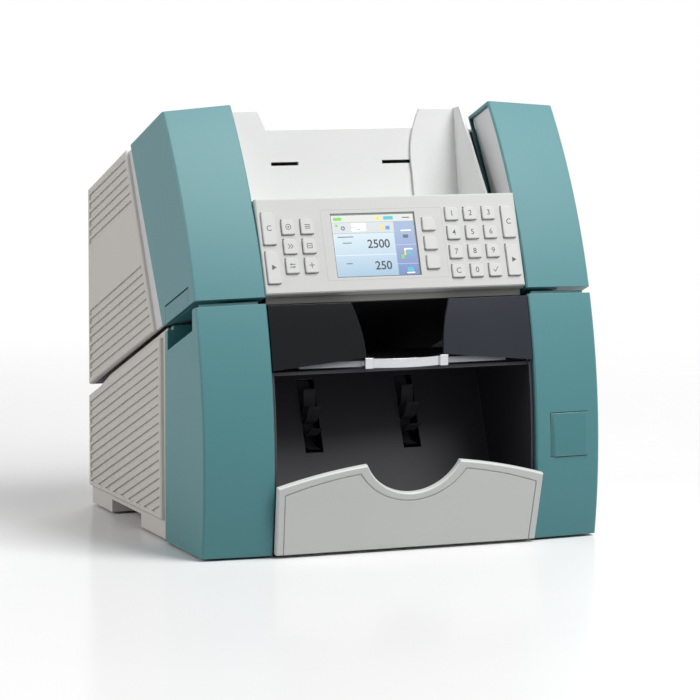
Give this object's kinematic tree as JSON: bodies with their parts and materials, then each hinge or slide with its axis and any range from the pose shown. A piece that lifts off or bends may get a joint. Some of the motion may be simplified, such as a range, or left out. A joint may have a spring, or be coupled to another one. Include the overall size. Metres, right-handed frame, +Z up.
{
  "type": "banknote counting machine",
  "caption": "Desktop machine that counts and sorts sheets: hinged head with hopper, keypad and display over a reject pocket and an open stacker pocket, between curved side wings.",
  "frame": {"origin": "bottom centre of the whole machine, on the table plane under the feet", "axes": "+X to the right seen from the user, +Y to the rear, +Z up; the control panel faces -Y"},
  "size_m": [0.332, 0.3053, 0.3409],
  "materials": {
    "teal_plastic": "fine matt texture",
    "grey_plastic": "fine matt texture",
    "light_plastic": "satin",
    "dark_plastic": "satin",
    "rubber": "matt",
    "roller_rubber": "matt",
    "smoked_clear": "gloss",
    "clear_plastic": "gloss",
    "bright_metal": "polished",
    "sheet_steel": "zinc plated",
    "motor_steel": "satin",
    "pulley_metal": "turned",
    "display_glass": "gloss",
    "circuit_board": "satin"
  },
  "bodies": {
    "chassis": {"base_shell": "grey_plastic", "rubber_feet": "rubber", "lower_left_panel": "grey_plastic", "lower_right_panel": "grey_plastic", "left_wing": "teal_plastic", "right_wing": "teal_plastic", "stacker_pocket": "dark_plastic", "stacker_front": "light_plastic", "side_frames": "sheet_steel", "drive_motor": "motor_steel", "drive_belt": "rubber", "power_inlet": "dark_plastic"},
    "head": {"left_cheek": "teal_plastic", "right_cheek": "teal_plastic", "head_shell": "light_plastic", "head_underplate": "dark_plastic", "upper_left_panel": "grey_plastic", "upper_right_panel": "grey_plastic", "control_panel": "light_plastic", "display": "display_glass", "keypad_board": "circuit_board", "hopper_bed": "light_plastic"},
    "reject_flap": {"reject_cover_left": "smoked_clear", "reject_cover_right": "smoked_clear", "reject_bracket": "bright_metal", "reject_stop_bars": "clear_plastic"},
    "power_button": {"power_button": "teal_plastic"},
    "hopper_guide_left": {"hopper_guide_left": "light_plastic"},
    "hopper_guide_right": {"hopper_guide_right": "light_plastic"},
    "feed_roller": {"feed_roller": "roller_rubber"},
    "release_lever_left": {"release_lever_left": "teal_plastic"},
    "release_lever_right": {"release_lever_right": "teal_plastic"},
    "transport_roller": {"transport_roller": "roller_rubber"},
    "stacker_wheels": {"stacker_wheels": "roller_rubber"},
    "motor_pulley": {"motor_pulley": "pulley_metal"},
    "key_digit_0": {"key_digit_0": "light_plastic"},
    "key_digit_1": {"key_digit_1": "light_plastic"},
    "key_digit_2": {"key_digit_2": "light_plastic"},
    "key_digit_3": {"key_digit_3": "light_plastic"},
    "key_digit_4": {"key_digit_4": "light_plastic"},
    "key_digit_5": {"key_digit_5": "light_plastic"},
    "key_digit_6": {"key_digit_6": "light_plastic"},
    "key_digit_7": {"key_digit_7": "light_plastic"},
    "key_digit_8": {"key_digit_8": "light_plastic"},
    "key_digit_9": {"key_digit_9": "light_plastic"},
    "key_cancel": {"key_cancel": "light_plastic"},
    "key_confirm": {"key_confirm": "light_plastic"},
    "key_function_1": {"key_function_1": "light_plastic"},
    "key_function_2": {"key_function_2": "light_plastic"},
    "key_function_3": {"key_function_3": "light_plastic"},
    "key_function_4": {"key_function_4": "light_plastic"},
    "key_function_5": {"key_function_5": "light_plastic"},
    "key_function_6": {"key_function_6": "light_plastic"},
    "key_soft_1": {"key_soft_1": "light_plastic"},
    "key_soft_2": {"key_soft_2": "light_plastic"},
    "key_soft_3": {"key_soft_3": "light_plastic"},
    "key_clear_left": {"key_clear_left": "light_plastic"},
    "key_clear_right": {"key_clear_right": "light_plastic"},
    "key_start_left": {"key_start_left": "light_plastic"},
    "key_start_right": {"key_start_right": "light_plastic"}
  },
  "joints": [
    {"name": "head_hinge", "type": "hinge", "parent": "chassis", "child": "head", "pos_m": [0, 0.14466, 0.103], "axis": [-1, 0, 0], "range_deg": [0, 40]},
    {"name": "reject_flap_hinge", "type": "hinge", "parent": "chassis", "child": "reject_flap", "pos_m": [0, -0.11574, 0.1894], "axis": [-1, 0, 0], "range_deg": [0, 50]},
    {"name": "guide_right_slide", "type": "slide", "parent": "head", "child": "hopper_guide_right", "axis": [-1, 0, 0], "range_m": [0, 0.045]},
    {"name": "guide_left_slide", "type": "slide", "parent": "head", "child": "hopper_guide_left", "axis": [1, 0, 0], "range_m": [0, 0.045]},
    {"name": "feed_roller_spin", "type": "hinge", "parent": "head", "child": "feed_roller", "pos_m": [0, -0.06534, 0.2375], "axis": [1, 0, 0], "continuous": true},
    {"name": "release_lever_left_pivot", "type": "hinge", "parent": "head", "child": "release_lever_left", "pos_m": [-0.1654, -0.09484, 0.1968], "axis": [1, 0, 0], "range_deg": [0, 1.2], "stiffness_Nm_per_rad": 2},
    {"name": "release_lever_right_pivot", "type": "hinge", "parent": "head", "child": "release_lever_right", "pos_m": [0.1654, -0.09484, 0.1968], "axis": [1, 0, 0], "range_deg": [0, 1.2], "stiffness_Nm_per_rad": 2},
    {"name": "power_button_press", "type": "slide", "parent": "chassis", "child": "power_button", "axis": [0, 1, 0], "range_m": [0, 0.002], "stiffness_N_per_m": 600},
    {"name": "transport_roller_spin", "type": "hinge", "parent": "chassis", "child": "transport_roller", "pos_m": [0, 0.03266, 0.123], "axis": [1, 0, 0], "continuous": true},
    {"name": "stacker_wheels_spin", "type": "hinge", "parent": "chassis", "child": "stacker_wheels", "pos_m": [0, -0.01934, 0.086], "axis": [1, 0, 0], "continuous": true},
    {"name": "motor_pulley_spin", "type": "hinge", "parent": "chassis", "child": "motor_pulley", "pos_m": [0, 0.08466, 0.052], "axis": [1, 0, 0], "continuous": true},
    {"name": "key_digit_0_press", "type": "slide", "parent": "head", "child": "key_digit_0", "axis": [0, 0.9432, -0.3322], "range_m": [0, 0.0012], "stiffness_N_per_m": 400},
    {"name": "key_digit_1_press", "type": "slide", "parent": "head", "child": "key_digit_1", "axis": [0, 0.9432, -0.3322], "range_m": [0, 0.0012], "stiffness_N_per_m": 400},
    {"name": "key_digit_2_press", "type": "slide", "parent": "head", "child": "key_digit_2", "axis": [0, 0.9432, -0.3322], "range_m": [0, 0.0012], "stiffness_N_per_m": 400},
    {"name": "key_digit_3_press", "type": "slide", "parent": "head", "child": "key_digit_3", "axis": [0, 0.9432, -0.3322], "range_m": [0, 0.0012], "stiffness_N_per_m": 400},
    {"name": "key_digit_4_press", "type": "slide", "parent": "head", "child": "key_digit_4", "axis": [0, 0.9432, -0.3322], "range_m": [0, 0.0012], "stiffness_N_per_m": 400},
    {"name": "key_digit_5_press", "type": "slide", "parent": "head", "child": "key_digit_5", "axis": [0, 0.9432, -0.3322], "range_m": [0, 0.0012], "stiffness_N_per_m": 400},
    {"name": "key_digit_6_press", "type": "slide", "parent": "head", "child": "key_digit_6", "axis": [0, 0.9432, -0.3322], "range_m": [0, 0.0012], "stiffness_N_per_m": 400},
    {"name": "key_digit_7_press", "type": "slide", "parent": "head", "child": "key_digit_7", "axis": [0, 0.9432, -0.3322], "range_m": [0, 0.0012], "stiffness_N_per_m": 400},
    {"name": "key_digit_8_press", "type": "slide", "parent": "head", "child": "key_digit_8", "axis": [0, 0.9432, -0.3322], "range_m": [0, 0.0012], "stiffness_N_per_m": 400},
    {"name": "key_digit_9_press", "type": "slide", "parent": "head", "child": "key_digit_9", "axis": [0, 0.9432, -0.3322], "range_m": [0, 0.0012], "stiffness_N_per_m": 400},
    {"name": "key_cancel_press", "type": "slide", "parent": "head", "child": "key_cancel", "axis": [0, 0.9432, -0.3322], "range_m": [0, 0.0012], "stiffness_N_per_m": 400},
    {"name": "key_confirm_press", "type": "slide", "parent": "head", "child": "key_confirm", "axis": [0, 0.9432, -0.3322], "range_m": [0, 0.0012], "stiffness_N_per_m": 400},
    {"name": "key_function_1_press", "type": "slide", "parent": "head", "child": "key_function_1", "axis": [0, 0.9432, -0.3322], "range_m": [0, 0.0012], "stiffness_N_per_m": 400},
    {"name": "key_function_2_press", "type": "slide", "parent": "head", "child": "key_function_2", "axis": [0, 0.9432, -0.3322], "range_m": [0, 0.0012], "stiffness_N_per_m": 400},
    {"name": "key_function_3_press", "type": "slide", "parent": "head", "child": "key_function_3", "axis": [0, 0.9432, -0.3322], "range_m": [0, 0.0012], "stiffness_N_per_m": 400},
    {"name": "key_function_4_press", "type": "slide", "parent": "head", "child": "key_function_4", "axis": [0, 0.9432, -0.3322], "range_m": [0, 0.0012], "stiffness_N_per_m": 400},
    {"name": "key_function_5_press", "type": "slide", "parent": "head", "child": "key_function_5", "axis": [0, 0.9432, -0.3322], "range_m": [0, 0.0012], "stiffness_N_per_m": 400},
    {"name": "key_function_6_press", "type": "slide", "parent": "head", "child": "key_function_6", "axis": [0, 0.9432, -0.3322], "range_m": [0, 0.0012], "stiffness_N_per_m": 400},
    {"name": "key_soft_1_press", "type": "slide", "parent": "head", "child": "key_soft_1", "axis": [0, 0.9432, -0.3322], "range_m": [0, 0.0012], "stiffness_N_per_m": 400},
    {"name": "key_soft_2_press", "type": "slide", "parent": "head", "child": "key_soft_2", "axis": [0, 0.9432, -0.3322], "range_m": [0, 0.0012], "stiffness_N_per_m": 400},
    {"name": "key_soft_3_press", "type": "slide", "parent": "head", "child": "key_soft_3", "axis": [0, 0.9432, -0.3322], "range_m": [0, 0.0012], "stiffness_N_per_m": 400},
    {"name": "key_clear_left_press", "type": "slide", "parent": "head", "child": "key_clear_left", "axis": [0, 0.9432, -0.3322], "range_m": [0, 0.0012], "stiffness_N_per_m": 400},
    {"name": "key_clear_right_press", "type": "slide", "parent": "head", "child": "key_clear_right", "axis": [0, 0.9432, -0.3322], "range_m": [0, 0.0012], "stiffness_N_per_m": 400},
    {"name": "key_start_left_press", "type": "slide", "parent": "head", "child": "key_start_left", "axis": [0, 0.9432, -0.3322], "range_m": [0, 0.0012], "stiffness_N_per_m": 400},
    {"name": "key_start_right_press", "type": "slide", "parent": "head", "child": "key_start_right", "axis": [0, 0.9432, -0.3322], "range_m": [0, 0.0012], "stiffness_N_per_m": 400}
  ],
  "couplings": [
    {"joint": "guide_left_slide", "follows": "guide_right_slide", "ratio": 1},
    {"joint": "stacker_wheels_spin", "follows": "transport_roller_spin", "ratio": 0.88235},
    {"joint": "motor_pulley_spin", "follows": "transport_roller_spin", "ratio": 1.6667}
  ]
}
